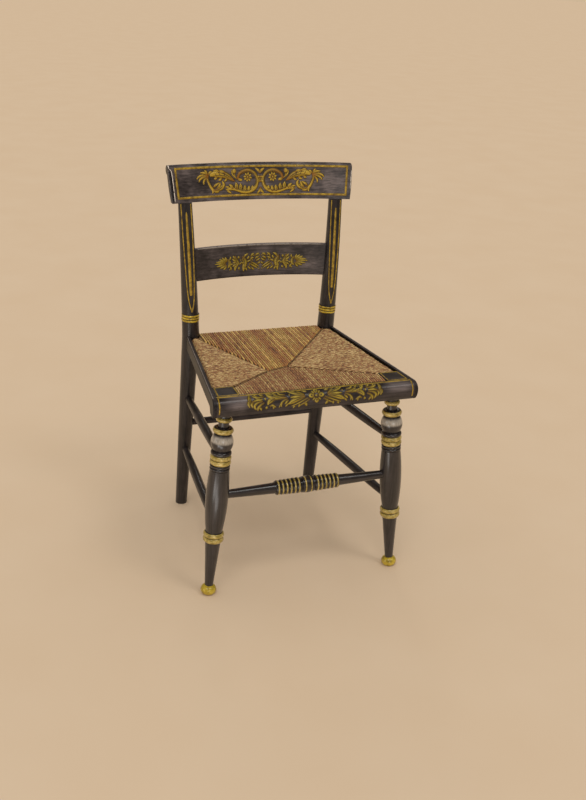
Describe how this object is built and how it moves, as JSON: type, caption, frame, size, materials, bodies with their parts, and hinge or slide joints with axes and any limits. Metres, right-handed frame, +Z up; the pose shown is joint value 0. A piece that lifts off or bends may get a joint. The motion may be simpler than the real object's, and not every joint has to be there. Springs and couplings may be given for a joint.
{
  "type": "side chair",
  "caption": "Painted and stenciled wooden side chair with turned legs, a rolled crest rail, a bowed slat and a woven rush seat.",
  "frame": {"origin": "on the floor, under the middle of the chair, half way from the front roll to the back of the crest", "axes": "+Z up, -Y the way a sitter faces, +X to the right as seen from the front"},
  "size_m": [0.4692, 0.4582, 0.847],
  "materials": {
    "painted_wood": "worn black paint over red, satin varnish",
    "bare_wood": "unfinished hardwood",
    "pegs": "painted over with the chair",
    "rush": "twisted rush, aged straw and tan",
    "stuffing": "loose rush waste, packed flat",
    "iron_brads": "cut brads, filled and painted over"
  },
  "bodies": {
    "root": {"crest_rail": "painted_wood", "back_slat": "painted_wood", "front_stretcher": "painted_wood", "rear_stretcher": "painted_wood", "front_roll": "painted_wood", "left_back_post": "painted_wood", "left_front_leg": "painted_wood", "left_corner_block": "painted_wood", "left_side_strip": "painted_wood", "left_lower_side_stretcher": "painted_wood", "left_upper_side_stretcher": "painted_wood", "right_back_post": "painted_wood", "right_front_leg": "painted_wood", "right_corner_block": "painted_wood", "right_side_strip": "painted_wood", "right_lower_side_stretcher": "painted_wood", "right_upper_side_stretcher": "painted_wood", "front_seat_rail": "bare_wood", "rear_seat_rail": "bare_wood", "left_side_seat_rail": "bare_wood", "right_side_seat_rail": "bare_wood", "crest_pegs": "pegs", "slat_pegs": "pegs", "rush_seat": "rush", "seat_stuffing": "stuffing", "front_roll_brads": "iron_brads", "side_strip_brads": "iron_brads"}
  },
  "joints": []
}
